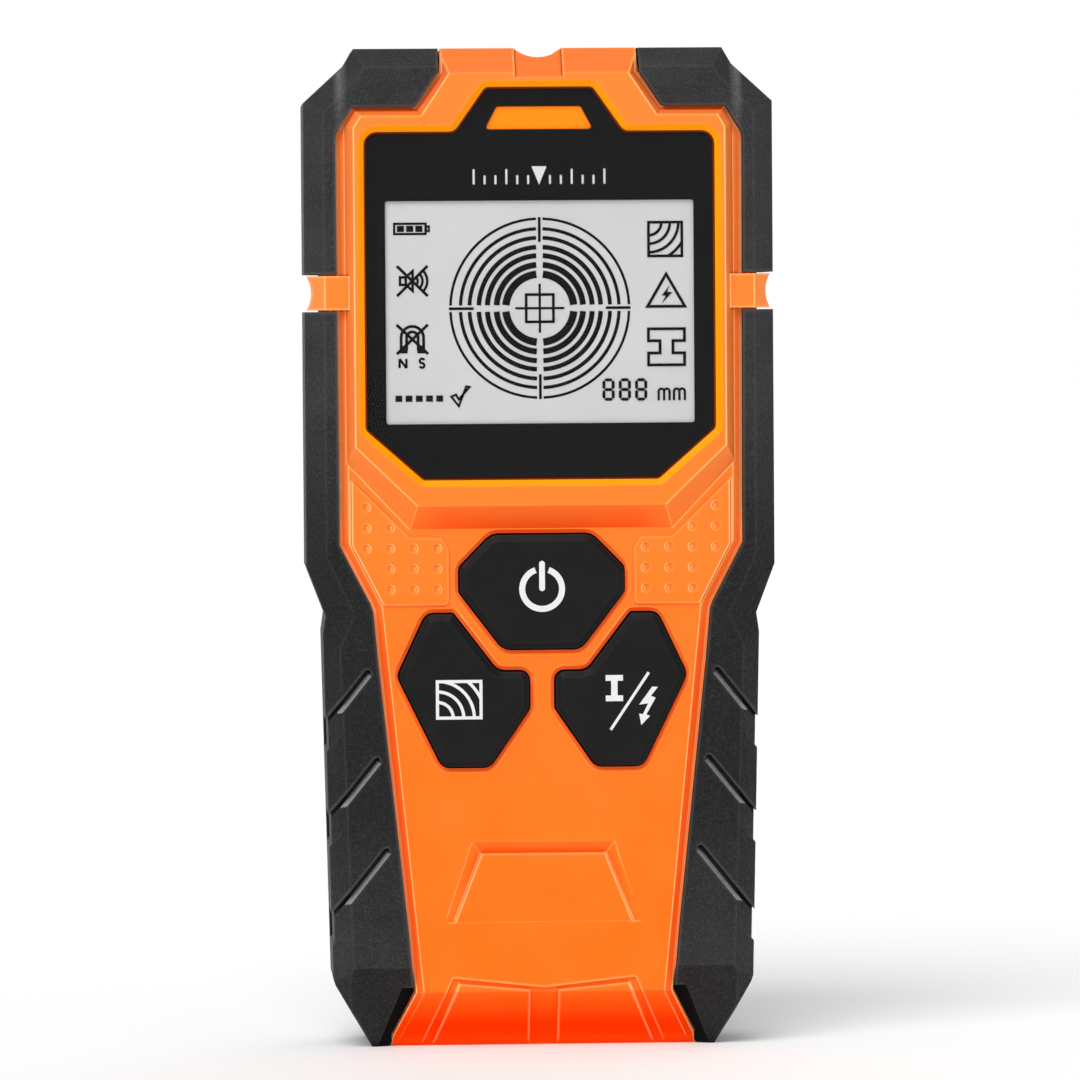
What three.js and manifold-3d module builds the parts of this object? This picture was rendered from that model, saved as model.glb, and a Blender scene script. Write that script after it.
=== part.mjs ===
// A handheld wall scanner (stud finder). A front shell carries a framed display and three keys; a rear
// shell carries a transverse 9 V battery bay with a hinged door; rubber corner bumpers and side grips
// clamp over both. Inside are the display stack, the main board, the search coil and the sensor board.
// Millimetres. +Z runs up the body from the battery end, -Y is the front face, +X is to its right.
// The origin is on the standing base, in the middle of the body's width and depth.
import * as THREE from "three";
import { mergeVertices } from "three/addons/utils/BufferGeometryUtils.js";
import Module from "manifold-3d";

const wasm = await Module();
wasm.setup();

// ---------------------------------------------------------------- driving dimensions

const LENGTH = 147;
const HALF_WIDTH = 34.5;
const WAIST = { x: 31.75, z: 63.8 };
const SHOULDER_Z = 71;

// Depths from the front to the rear of the case.
const CREST_Y = -13.5; // raised surround of the display
const RUBBER_FRONT_Y = -12.4;
const FACE_Y = -11.4; // keypad face
const CORE_FRONT_Y = -10.7; // shell under the rubber
const INNER_FRONT_Y = -9.4;
const PARTING_Y = 1;
const INNER_REAR_Y = 9.6;
const CORE_REAR_Y = 10.9;
const BAY_REAR_Y = 11.2; // deeper floor of the rear shell between the rubber strips
const RUBBER_REAR_Y = 12.4;
const REAR_Y = 13.2;
const PAD_Y = 13.5; // glide pads on the rear

const GAP = 0.25; // between neighbouring pieces
const SEAM = 0.1; // half of the visible joint between the shells
const EDGE = 2.8; // bevel of the rubber along the front and rear
const CORE_EDGE = 1.3;
const FACE_EDGE = 1.1;

const SLOPE_Z = 8.3; // the front face bends back towards the base below this height
const SLOPE_BASE_Y = -6.6;
const GRIP_SLOPE_Z = 12;
const GRIP_SLOPE_BASE_Y = -7.5;
const CORE_BEHIND_GRIP = 1.6;

const NOTCH_BAND = { z0: 108.7, z1: 113.7, halfWidth: 34, dip: 0.7 };
const TOP_NOTCH = { radius: 5.1, depth: 1.36, channel: 3.5, channelDepth: 0.5 };

const KEY_TRAVEL = 1;
const KEY_TOP_Y = -12.7;
const KEY_EDGE_Y = -12.1;
const KEY_BEVEL = 0.9;
const KEY_CLEARANCE = 0.25;
const KEYHOLE_EDGE = { width: 0.55, depth: 0.4 }; // chamfer round each key
const FLANGE = { grow: 0.75, y0: -9.15, y1: -8.3 };
const PLUNGER = { radius: 2.6, y: -6.2 };
const CONTACT = { radius: 2.2, y0: -6, y1: -5.7 };

const BOARD = { y0: -4.6, y1: -3 };
const BATTERY = { x0: -24.9, x1: 21.1, y0: -7.1, y1: 10.4, z0: 9.6, z1: 36.1 };
const DOOR = { halfWidth: 24.7, z0: 8.9, z1: 36.7, y0: 11.3, gap: 0.3 };
const DOOR_RIBS = { x: [-16, -5.4, 5.4, 16], thickness: 1.2, y: 10.75, z0: 12.5, z1: 30 };
const HINGE = { y: 11.8, z: 35.6, pin: 0.6, socket: 0.8, reach: 1.2 };
const SCREWS = [
  [25.2, 132],
  [-25.2, 132],
  [22.3, 44.5],
  [-22.3, 44.5],
];
const SCREW_HEAD_Y = 7.6;
const COIL_Z = 111;

// ---------------------------------------------------------------- outlines
// An outline is a list of corners [x, z, radius], seen from the front and listed anticlockwise.

// The half of an outline at +X, listed from bottom to top, with its mirror image added.
function mirrored(half) {
  const left = half.map(([x, z, r]) => [-x, z, r]).reverse();
  return [...half, ...left];
}

function rectangle(x0, z0, x1, z1, r = 0) {
  return [
    [x0, z0, r],
    [x1, z0, r],
    [x1, z1, r],
    [x0, z1, r],
  ];
}

const flipped = (corners) => corners.map(([x, z, r]) => [-x, z, r]).reverse();

const SILHOUETTE = mirrored([
  [25.3, 0],
  [30.7, 9.3],
  [31, 10.2],
  [32.15, 61],
  [WAIST.x, WAIST.z],
  [HALF_WIDTH, SHOULDER_Z],
  [HALF_WIDTH, 139.1],
  [28.5, 144.6],
  [27.1, LENGTH],
]);

// Where the rubber's front and rear bevels start; it pinches in at the waist.
const RUBBER_CREST = mirrored([
  [22, 0],
  [27.4, 9.9],
  [28, 11.4],
  [29.7, 59],
  [27.6, 64],
  [31.6, 72.6],
  [31.6, 137.6],
  [26.8, 142.4],
  [25.6, 144.2],
]);

const CORE = mirrored([
  [22.4, 0],
  [22.4, 2.8],
  [23.6, 2.8],
  [28.2, 10.2],
  [29.7, 61],
  [29.35, WAIST.z],
  [32.1, 71.4],
  [32.1, 138],
  [26.7, 143],
  [25.9, 144.6],
  [14.2, 144.6],
  [14.2, LENGTH],
]);

// The part of the front that the rubber leaves open.
const FACE = mirrored([
  [22.5, 0],
  [22.2, 1.7],
  [18.9, 8.3],
  [19.7, 17.5],
  [21.9, 39],
  [23.9, 57.3],
  [24.55, 64.5],
  [24.9, 65.6],
  [29.4, 74.3],
  [29.65, 133.8],
  [29.5, 134.5],
  [27.25, 138.15],
  [18.4, 138.15],
  [17.75, 138.5],
  [14.5, 143.4],
  [14.4, LENGTH],
]);

const REAR_FACE = mirrored([
  [22.5, 0],
  [22.7, 3.2],
  [26.4, 10.2],
  [27.9, 61],
  [27.5, WAIST.z],
  [30.2, 71.6],
  [30.2, 137],
  [26.4, 140.4],
  [14.4, 140.4],
  [14.4, LENGTH],
]);

const CAVITY = mirrored([
  [20.4, 2.2],
  [22.3, 4.8],
  [26.1, 10.8],
  [27.6, 61],
  [27.3, 64],
  [30.1, 71.8],
  [30.1, 137.2],
  [25, 142.2],
]);

const CREST = mirrored([
  [18.3, 79.9],
  [27.3, 88.6],
  [27.3, 135.3],
  [26.2, 137.1],
  [17.3, 137.1],
  [13.3, 143.1],
  [13.3, LENGTH],
]);
const CREST_FOOT = mirrored([
  [19.3, 76.5],
  [28.5, 86.2],
  [28.5, 135.7],
  [27.1, 138],
  [17.9, 138],
  [14.1, 143.4],
  [14.1, LENGTH],
]);

const WINDOW = mirrored([
  [17.2, 83.9, 0.6],
  [25.5, 91.2, 0.8],
  [25.5, 134.5, 1.7],
  [12.3, 134.5, 1.6],
  [7.75, 141, 0.8],
]);
const DISPLAY = rectangle(-22.65, 91.9, 22.65, 124.6, 0.4);
const DISPLAY_OPENING = rectangle(-24.4, 91, 24.4, 126.9, 0.4);
const INDICATOR = mirrored([
  [7.95, 135.05, 0.4],
  [6.15, 138.4, 0.4],
]);

// Openings for the keys.
const POWER_KEY = mirrored([
  [5.8, 58.55, 2.4],
  [12.3, 67.1, 0.9],
  [12.3, 70.85, 1.4],
  [7.45, 75.8, 2.4],
]);
const METAL_KEY = [
  [7.7, 41.25, 2],
  [14.85, 41.25, 1.8],
  [21.5, 54.9, 2],
  [17.1, 64.2, 1.8],
  [13, 64.2, 0.7],
  [6.5, 55.68, 1.9],
  [1.72, 55.68, 1.6],
  [1.72, 49.95, 0.9],
];
const KEYS = [
  { name: "power", opening: POWER_KEY, contact: [0, 67.2] },
  { name: "metal", opening: METAL_KEY, contact: [12.4, 53.4] },
  { name: "wood", opening: flipped(METAL_KEY), contact: [-12.4, 53.4] },
];

// Raised thumb panels on both sides of the power key, and their grid of dimples.
const PANEL = [
  [13.5, 65.1, 0.9],
  [23.4, 65.1, 0.3],
  [28, 74.1, 0.6],
  [28, 84, 0.3],
  [19.2, 75.3, 0.4],
  [14.6, 75.3, 0.4],
  [13.5, 73.6, 0.4],
];
const PANEL_HEIGHT = 0.3;
const DIMPLE = { pitch: 3.45, rowPitch: 3.03, x: 25.75, z: 79.7, radius: 0.65, depth: 0.25 };
const DIMPLE_ROWS = [[0], [0, 1], [0, 1, 2, 3], [1, 2, 3], [1, 2, 3]];

// Slanted slots in each grip, from the inner end to where they leave through the side. A shallower
// ledge runs along the lower side of each one.
const SLOTS = [
  [25.6, 55.4, 31.9, 47.5],
  [24.3, 42.5, 31.5, 33.6],
  [23, 29.2, 31.2, 19],
];
const SLOT = { halfWidth: 0.6, depth: 1.1, slope: 0.6, sideDepth: 0.35, ledgeWidth: 1.8, sideY: 6 };

// ---------------------------------------------------------------- drawing helpers

// The corners moved outwards by grow, or inwards if it is negative, with concentric radii. A round
// corner stays a little round, so that an outline keeps its number of points.
function grown(corners, grow) {
  const n = corners.length;
  return corners.map(([x, z, radius = 0], i) => {
    const [px, pz] = corners[(i + n - 1) % n];
    const [qx, qz] = corners[(i + 1) % n];
    const a = new THREE.Vector2(x - px, z - pz).normalize();
    const b = new THREE.Vector2(qx - x, qz - z).normalize();
    const outA = new THREE.Vector2(a.y, -a.x);
    const outB = new THREE.Vector2(b.y, -b.x);
    const reach = grow / (1 + outA.dot(outB));
    const r = radius > 0 ? Math.max(radius + Math.sign(a.cross(b)) * grow, 0.05) : 0;
    return [x + (outA.x + outB.x) * reach, z + (outA.y + outB.y) * reach, r];
  });
}

// The points of an outline, with an arc of short straight steps at each corner that has a radius.
function traced(corners, stepDegrees = 20) {
  const n = corners.length;
  const points = [];
  corners.forEach(([x, z, radius = 0], i) => {
    const at = new THREE.Vector2(x, z);
    if (radius === 0) {
      points.push(at);
      return;
    }
    const before = corners[(i + n - 1) % n];
    const after = corners[(i + 1) % n];
    const toBefore = new THREE.Vector2(before[0] - x, before[1] - z).normalize();
    const toAfter = new THREE.Vector2(after[0] - x, after[1] - z).normalize();
    const half = Math.acos(toBefore.dot(toAfter)) / 2;
    const centre = toBefore.clone().add(toAfter).setLength(radius / Math.sin(half)).add(at);
    const start = toBefore.multiplyScalar(radius / Math.tan(half)).add(at).sub(centre);
    const end = toAfter.multiplyScalar(radius / Math.tan(half)).add(at).sub(centre);
    const sweep = Math.atan2(start.cross(end), start.dot(end));
    const steps = Math.max(1, Math.round(THREE.MathUtils.radToDeg(Math.abs(sweep)) / stepDegrees));
    for (let k = 0; k <= steps; k++) {
      points.push(start.clone().rotateAround(new THREE.Vector2(), (sweep * k) / steps).add(centre));
    }
  });
  return points;
}

function toSolid(geometry) {
  const bare = geometry.index ? geometry.toNonIndexed() : geometry.clone();
  bare.deleteAttribute("normal");
  bare.deleteAttribute("uv");
  const merged = mergeVertices(bare, 1e-4);
  const mesh = new wasm.Mesh({
    numProp: 3,
    vertProperties: new Float32Array(merged.attributes.position.array),
    triVerts: new Uint32Array(merged.index.array),
  });
  return new wasm.Manifold(mesh);
}

const joined = (solids) => solids.reduce((a, b) => a.add(b));
const cutBy = (solid, cutters) => cutters.reduce((a, b) => a.subtract(b), solid);

// An outline pushed through from one depth to another.
function prism(corners, y0, y1) {
  const shape = new THREE.Shape(traced(corners));
  const geometry = new THREE.ExtrudeGeometry(shape, { depth: y1 - y0, bevelEnabled: false });
  return toSolid(geometry.rotateX(Math.PI / 2).translate(0, y1, 0));
}

// A prism along X across the whole case, from its [y, z] profile.
function crossPrism(profile) {
  const shape = new THREE.Shape(profile.map(([y, z]) => new THREE.Vector2(y, z)));
  const width = 4 * HALF_WIDTH;
  const geometry = new THREE.ExtrudeGeometry(shape, { depth: width, bevelEnabled: false });
  const turn = new THREE.Matrix4().set(0, 0, 1, -width / 2, 1, 0, 0, 0, 0, 1, 0, 0, 0, 0, 0, 1);
  return toSolid(geometry.applyMatrix4(turn));
}

// The triangles that close a ring, wound the same way round as the ring.
function capTriangles(ring) {
  const spread = (axis) => Math.max(...ring.map((p) => p[axis])) - Math.min(...ring.map((p) => p[axis]));
  const [u, v] = ["x", "y", "z"].sort((a, b) => spread(b) - spread(a));
  const flat = ring.map((p) => new THREE.Vector2(p[u], p[v]));
  const triangles = THREE.ShapeUtils.triangulateShape(flat, []);
  const first = THREE.ShapeUtils.area(triangles[0].map((i) => flat[i]));
  const sameWay = first * THREE.ShapeUtils.area(flat) > 0;
  return sameWay ? triangles : triangles.map(([a, b, c]) => [a, c, b]);
}

// A closed skin over rings that all hold the same number of points.
function skinned(rings) {
  const count = rings[0].length;
  const last = (rings.length - 1) * count;
  const index = capTriangles(rings[0]).flat();
  for (let start = 0; start < last; start += count) {
    for (let i = 0; i < count; i++) {
      const a = start + i;
      const b = start + ((i + 1) % count);
      index.push(a, a + count, b, b, a + count, b + count);
    }
  }
  capTriangles(rings.at(-1)).forEach(([a, b, c]) => index.push(last + a, last + c, last + b));
  const geometry = new THREE.BufferGeometry().setFromPoints(rings.flat());
  geometry.setIndex(index);
  const solid = toSolid(geometry);
  if (solid.volume() > 0) return solid;
  geometry.setIndex(index.reverse());
  return toSolid(geometry);
}

// A tapered block through outlines at given depths, listed as [y, corners].
function tapered(levels) {
  const ring = ([y, corners]) => traced(corners).map((p) => new THREE.Vector3(p.x, y, p.y));
  return skinned(levels.map(ring));
}

function box(x0, x1, y0, y1, z0, z1) {
  const geometry = new THREE.BoxGeometry(x1 - x0, y1 - y0, z1 - z0);
  return toSolid(geometry.translate((x0 + x1) / 2, (y0 + y1) / 2, (z0 + z1) / 2));
}

function barY(radius, x, z, y0, y1, sides = 24) {
  const geometry = new THREE.CylinderGeometry(radius, radius, y1 - y0, sides);
  return toSolid(geometry.translate(x, (y0 + y1) / 2, z));
}

function barX(radius, y, z, x0, x1, sides = 16) {
  const geometry = new THREE.CylinderGeometry(radius, radius, x1 - x0, sides);
  return toSolid(geometry.rotateZ(Math.PI / 2).translate((x0 + x1) / 2, y, z));
}

// A round wire through points [x, y, z]; its first and last stretches run along an axis.
function wire(points, radius, sides = 8) {
  const path = points.map((p) => new THREE.Vector3(...p));
  const rings = path.map((p, i) => {
    const back = path[Math.max(i - 1, 0)];
    const on = path[Math.min(i + 1, path.length - 1)];
    const turn = new THREE.Quaternion().setFromUnitVectors(
      new THREE.Vector3(0, 0, 1),
      on.clone().sub(back).normalize(),
    );
    return Array.from({ length: sides }, (_, k) => {
      const angle = (2 * Math.PI * k) / sides;
      const spoke = new THREE.Vector3(radius * Math.cos(angle), radius * Math.sin(angle), 0);
      return spoke.applyQuaternion(turn).add(p);
    });
  });
  return skinned(rings);
}

// Everything in front of the sloping plane that runs from (y0, z0) down to (y1, 0), and around it.
function beforeSlope(y0, z0, y1) {
  const drop = (y0 - y1) / z0;
  return crossPrism([
    [y0, z0],
    [y0 + drop * 20, z0 + 20],
    [-60, z0 + 20],
    [-60, -20],
    [y1 - drop * 20, -20],
  ]);
}

// What is taken off the top edge at 45 degrees, where z + |y| passes the level.
function topEdge(level, sign) {
  return crossPrism([
    [sign * (level - LENGTH - 9), LENGTH + 9],
    [sign * (level - LENGTH + 9), LENGTH - 9],
    [sign * 40, LENGTH - 9],
    [sign * 40, LENGTH + 9],
  ]);
}

// ---------------------------------------------------------------- the case

const FRONT_TOP_LEVEL = 156.8;
const REAR_TOP_LEVEL = 157.8;
const BASE_REAR_Y = 11.2;

// Wide cutting blocks and bars reach past the case on both sides.
const FAR = 60;

const baseRearEdge = crossPrism([
  [BASE_REAR_Y + 10, 10],
  [BASE_REAR_Y + 10, -10],
  [BASE_REAR_Y - 10, -10],
]);

// The whole outside of the case over the rubber.
const envelope = tapered([
  [RUBBER_FRONT_Y, RUBBER_CREST],
  [RUBBER_FRONT_Y + EDGE, SILHOUETTE],
  [RUBBER_REAR_Y - EDGE, SILHOUETTE],
  [RUBBER_REAR_Y, RUBBER_CREST],
]).subtract(baseRearEdge);

// The shell under the rubber, and the places where the shell itself comes out to the silhouette.
const core = tapered([
  [CORE_FRONT_Y, grown(CORE, -CORE_EDGE)],
  [CORE_FRONT_Y + CORE_EDGE, CORE],
  [CORE_REAR_Y - CORE_EDGE, CORE],
  [CORE_REAR_Y, grown(CORE, -CORE_EDGE)],
]).subtract(
  beforeSlope(RUBBER_FRONT_Y + CORE_BEHIND_GRIP, GRIP_SLOPE_Z, GRIP_SLOPE_BASE_Y + CORE_BEHIND_GRIP),
);

const { z0: BAND_Z0, z1: BAND_Z1, halfWidth: BAND_X, dip: BAND_DIP } = NOTCH_BAND;
const REAR_BAND_X = BAND_X - 0.5;
const dipRadius = ((BAND_Z1 - BAND_Z0) ** 2 / 4 + BAND_DIP ** 2) / (2 * BAND_DIP);
const bandOf = (halfWidth) =>
  cutBy(
    envelope.intersect(box(-halfWidth, halfWidth, -FAR, FAR, BAND_Z0, BAND_Z1)),
    [-1, 1].map((side) =>
      barY(dipRadius, side * (halfWidth - BAND_DIP + dipRadius), (BAND_Z0 + BAND_Z1) / 2, -FAR, FAR, 40),
    ),
  );

const topNotch = barY(
  TOP_NOTCH.radius,
  0,
  LENGTH - TOP_NOTCH.depth + TOP_NOTCH.radius,
  -FAR,
  FAR,
  40,
);

const frontHalf = box(-FAR, FAR, -FAR, PARTING_Y - SEAM, -FAR, 3 * FAR);
const rearHalf = box(-FAR, FAR, PARTING_Y + SEAM, FAR, -FAR, 3 * FAR);

const bayWall = prism(CAVITY, INNER_FRONT_Y, INNER_REAR_Y)
  .intersect(box(-FAR, FAR, INNER_FRONT_Y, INNER_REAR_Y, 37.5, 38.7))
  .subtract(box(22.6, 26.4, -6, 5, 37, 39));

// Front shell.

const facePlate = tapered([
  [FACE_Y, grown(FACE, -FACE_EDGE)],
  [FACE_Y + 0.5, FACE],
  [INNER_FRONT_Y - 0.1, FACE],
]).intersect(box(-FAR, FAR, -FAR, FAR, SLOPE_Z - 0.05, 2 * LENGTH));
const surround = tapered([
  [CREST_Y, CREST],
  [FACE_Y, CREST_FOOT],
  [INNER_FRONT_Y - 0.1, CREST_FOOT],
]);
const panelBlock = tapered([
  [FACE_Y - PANEL_HEIGHT, grown(PANEL, -0.2)],
  [FACE_Y - 0.05, PANEL],
  [FACE_Y + 0.4, PANEL],
]);

function mirrorX(solid) {
  return solid.mirror([1, 0, 0]);
}

// A dimple: a shallow dish cut into the thumb panel.
function dimple(x, z) {
  const face = FACE_Y - PANEL_HEIGHT;
  const profile = [
    [0, face - 1],
    [DIMPLE.radius, face - 1],
    [DIMPLE.radius, face],
    [DIMPLE.radius * 0.6, face + DIMPLE.depth * 0.8],
    [0, face + DIMPLE.depth],
  ];
  const points = profile.map(([r, y]) => new THREE.Vector2(r, y));
  return toSolid(new THREE.LatheGeometry(points, 10).translate(x, 0, z));
}

const dimples = DIMPLE_ROWS.flatMap((columns, row) =>
  columns.flatMap((column) => {
    const x = DIMPLE.x - column * DIMPLE.pitch;
    const z = DIMPLE.z - row * DIMPLE.rowPitch;
    return [dimple(x, z), dimple(-x, z)];
  }),
);

// The thumb rest: a band round the top and sides of a trapezoid sinks towards a raised middle.
const REST_SINK = 0.9;
const REST_MIDDLE_Y = FACE_Y + 0.04;
const restRim = [
  [-14.8, FACE_Y - 0.1, 18.6],
  [14.8, FACE_Y - 0.1, 18.6],
  [10.7, FACE_Y - 0.1, 30.6],
  [-10.7, FACE_Y - 0.1, 30.6],
];
const restFloor = [
  [-13.3, FACE_Y + 0.35, 18.6],
  [13.3, FACE_Y + 0.35, 18.6],
  [9.2, FACE_Y + REST_SINK, 28.7],
  [-9.2, FACE_Y + REST_SINK, 28.7],
];
const REST_MIDDLE = mirrored([
  [13.6, 17.5],
  [9.2, 28.7],
]);
const thumbRest = skinned(
  [restRim, restFloor].map((ring) => ring.map((p) => new THREE.Vector3(...p))),
).subtract(
  tapered([
    [REST_MIDDLE_Y, grown(REST_MIDDLE, -0.12)],
    [REST_MIDDLE_Y + 0.15, REST_MIDDLE],
    [0, REST_MIDDLE],
  ]),
);

// The front below its bend: a shallow relief under a flat V leaves two raised feet.
const BASE_RELIEF = 0.4;
const RELIEF = mirrored([
  [18.9, -2],
  [13.4, 10.3],
]);
RELIEF.splice(2, 0, [0, 8.85, 0]);
const FOOT = [
  [2.05, -3, 0],
  [17.9, -3, 0],
  [12.5, 9.5, 0],
  [2.05, 8.55, 0],
];
const slopeGrooves = prism(RELIEF, -FAR, 0)
  .subtract(prism(FOOT, -2 * FAR, FAR))
  .subtract(prism(flipped(FOOT), -2 * FAR, FAR))
  .intersect(
    beforeSlope(FACE_Y + BASE_RELIEF, SLOPE_Z, SLOPE_BASE_Y + BASE_RELIEF).add(
      box(-FAR, FAR, -2 * FAR, FACE_Y + BASE_RELIEF, -FAR, FAR),
    ),
  );

const windowSeat = tapered([
  [CREST_Y - 0.1, grown(WINDOW, 1.3)],
  [CREST_Y + 0.6, grown(WINDOW, GAP)],
  [-11.7, grown(WINDOW, GAP)],
]);
const keyhole = ({ opening }) =>
  prism(opening, -12, INNER_FRONT_Y + 1).add(
    tapered([
      [FACE_Y - KEYHOLE_EDGE.depth, grown(opening, 2 * KEYHOLE_EDGE.width)],
      [FACE_Y, grown(opening, KEYHOLE_EDGE.width)],
      [FACE_Y + KEYHOLE_EDGE.depth, opening],
    ]),
  );

const frontCavity = prism(CAVITY, INNER_FRONT_Y, 3).subtract(
  beforeSlope(INNER_FRONT_Y, GRIP_SLOPE_Z + 0.3, -4.5),
);
const screwPost = ([x, z]) => barY(2.9, x, z, INNER_FRONT_Y - 0.2, PARTING_Y - 0.6);
const screwPilot = ([x, z]) => barY(1.4, x, z, -7.5, 3, 16);

const slopeCut = beforeSlope(FACE_Y, SLOPE_Z, SLOPE_BASE_Y);

// The face plate again, sheared so that its front and its bevelled edge follow the slope to the base.
const slopeDrop = (SLOPE_BASE_Y - FACE_Y) / SLOPE_Z;
const slopePlate = tapered([
  [FACE_Y, grown(FACE, -FACE_EDGE)],
  [FACE_Y + 0.5, FACE],
  [FACE_Y + 5, FACE],
])
  .intersect(box(-FAR, FAR, -FAR, FAR, 0, SLOPE_Z))
  .transform([1, 0, 0, 0, 0, 1, 0, 0, 0, -slopeDrop, 1, 0, 0, slopeDrop * SLOPE_Z, 0, 1]);
const topChannel = topEdge(FRONT_TOP_LEVEL - TOP_NOTCH.channelDepth * Math.SQRT2, -1).intersect(
  box(-TOP_NOTCH.channel, TOP_NOTCH.channel, -FAR, 0, 0, 2 * LENGTH),
);

const frontOutside = cutBy(
  joined([
    core,
    facePlate,
    surround,
    bandOf(BAND_X),
    box(-14.2, 14.2, FACE_Y, 5, 138, LENGTH),
    slopePlate,
    panelBlock,
    mirrorX(panelBlock),
  ]).intersect(frontHalf),
  [slopeCut, slopeGrooves, topEdge(FRONT_TOP_LEVEL, -1), topChannel, topNotch, thumbRest, ...dimples],
);
const frontShell = cutBy(
  cutBy(frontOutside, [
    frontCavity,
    windowSeat,
    prism(DISPLAY_OPENING, -12, INNER_FRONT_Y + 1),
    prism(grown(INDICATOR, GAP), -12, INNER_FRONT_Y + 1),
    ...KEYS.map(keyhole),
  ])
    .add(joined(SCREWS.map(screwPost)))
    .add(bayWall.intersect(frontHalf)),
  SCREWS.map(screwPilot),
);

// Rear shell.

const REAR_RECESS = mirrored([
  [24.6, 39.8],
  [25.3, 60],
  [25, 64.4],
  [27.6, 72.6],
  [27.6, 135.8],
  [24.6, 138],
]);
const LABEL = rectangle(-18, 55, 18, 81, 1.5);
const UPPER_PAD = rectangle(-16, 133.6, 16, 137, 1.6);
const LOWER_PAD = rectangle(-16, 41, 16, 44.4, 1.6);

const rearPlate = tapered([
  [INNER_REAR_Y, REAR_FACE],
  [REAR_Y - 1, REAR_FACE],
  [REAR_Y, grown(REAR_FACE, -1)],
]);
const screwSleeve = ([x, z]) => barY(3.6, x, z, PARTING_Y + 0.4, BAY_REAR_Y + 0.2);
const screwBore = ([x, z]) => [
  barY(1.4, x, z, -3, REAR_Y, 16),
  barY(2.9, x, z, SCREW_HEAD_Y, REAR_Y + 2),
];

// A shallow ring and four ticks on the rear mark the middle of the search coil.
const coilMark = joined([
  barY(13.4, 0, COIL_Z, REAR_Y - 0.3, REAR_Y + 1, 48).subtract(
    barY(12.6, 0, COIL_Z, REAR_Y - 2, REAR_Y + 2, 48),
  ),
  box(-0.4, 0.4, REAR_Y - 0.3, REAR_Y + 1, COIL_Z + 9, COIL_Z + 18),
  box(-0.4, 0.4, REAR_Y - 0.3, REAR_Y + 1, COIL_Z - 18, COIL_Z - 9),
  box(9, 20, REAR_Y - 0.3, REAR_Y + 1, COIL_Z - 0.4, COIL_Z + 0.4),
  box(-20, -9, REAR_Y - 0.3, REAR_Y + 1, COIL_Z - 0.4, COIL_Z + 0.4),
]);

const doorway = box(
  -DOOR.halfWidth - DOOR.gap,
  DOOR.halfWidth + DOOR.gap,
  INNER_REAR_Y - 1,
  FAR,
  DOOR.z0 - DOOR.gap,
  DOOR.z1 + DOOR.gap + 0.25,
);
const hingePins = (radius, from, to) =>
  barX(radius, HINGE.y, HINGE.z, from, to).add(barX(radius, HINGE.y, HINGE.z, -to, -from));

const rearOutside = cutBy(
  joined([
    core,
    rearPlate,
    bandOf(REAR_BAND_X),
    box(-14.2, 14.2, -1, REAR_Y, 138, LENGTH),
    box(-22.4, 22.4, -1, REAR_Y, 0, 12),
  ]).intersect(rearHalf),
  [baseRearEdge, topEdge(REAR_TOP_LEVEL, 1), topNotch],
);
const rearShell = cutBy(
  cutBy(rearOutside, [prism(CAVITY, -3, INNER_REAR_Y), prism(REAR_RECESS, -3, BAY_REAR_Y), doorway])
    .add(joined(SCREWS.map(screwSleeve)))
    .add(bayWall.intersect(rearHalf)),
  [
    ...SCREWS.flatMap(screwBore),
    hingePins(HINGE.socket, DOOR.halfWidth, DOOR.halfWidth + HINGE.reach + 0.4),
    coilMark,
    prism(grown(LABEL, 0.2), REAR_Y - 0.4, FAR),
    prism(grown(UPPER_PAD, 0.2), REAR_Y - 0.4, FAR),
    prism(grown(LOWER_PAD, 0.2), REAR_Y - 0.4, FAR),
  ],
);

// Rubber: the envelope, less the shells and the faces that it leaves open.
const underRubber = (frontDepth) =>
  tapered([
    [RUBBER_FRONT_Y + frontDepth, RUBBER_CREST],
    [RUBBER_FRONT_Y + EDGE + 0.4 * SLOT.sideDepth, grown(SILHOUETTE, -SLOT.sideDepth)],
    [SLOT.sideY, grown(SILHOUETTE, -SLOT.sideDepth)],
    [SLOT.sideY + 2 * SLOT.sideDepth, grown(SILHOUETTE, SLOT.sideDepth)],
    [FAR, grown(SILHOUETTE, SLOT.sideDepth)],
  ]);
const slotBed = underRubber(SLOT.depth);
const ledgeBed = underRubber(0.02);
const slotCutters = SLOTS.flatMap(([x0, z0, x1, z1]) => {
  const along = new THREE.Vector2(x1 - x0, z1 - z0).normalize();
  const across = new THREE.Vector2(along.y, -along.x);
  const start = new THREE.Vector2(x0, z0);
  const at = (distance, aside) => {
    const p = start.clone().addScaledVector(along, distance).addScaledVector(across, aside);
    return [p.x, p.y, 0];
  };
  const reach = start.distanceTo(new THREE.Vector2(x1, z1));
  const upper = -SLOT.halfWidth;
  const outline = (lower) => [
    at(0, lower),
    at(-0.5, (upper + lower) / 2),
    at(0, upper),
    at(reach + 4, upper),
    at(reach + 4, lower),
  ];
  const bottom = SLOT.halfWidth - SLOT.slope;
  const edge = SLOT.halfWidth + SLOT.ledgeWidth;
  const ledge = [
    at(reach * 0.7, upper / 2),
    at(reach + 4, upper / 2),
    at(reach + 4, edge),
    at(reach * 0.85, edge),
  ];
  return [
    prism(outline(bottom), -FAR, SLOT.sideY).subtract(slotBed),
    tapered([
      [RUBBER_FRONT_Y - SLOT.depth, outline(SLOT.halfWidth + SLOT.slope)],
      [RUBBER_FRONT_Y + SLOT.depth, outline(bottom)],
    ]).subtract(slotBed),
    prism(ledge, -FAR, SLOT.sideY).subtract(ledgeBed),
  ];
});

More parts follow.
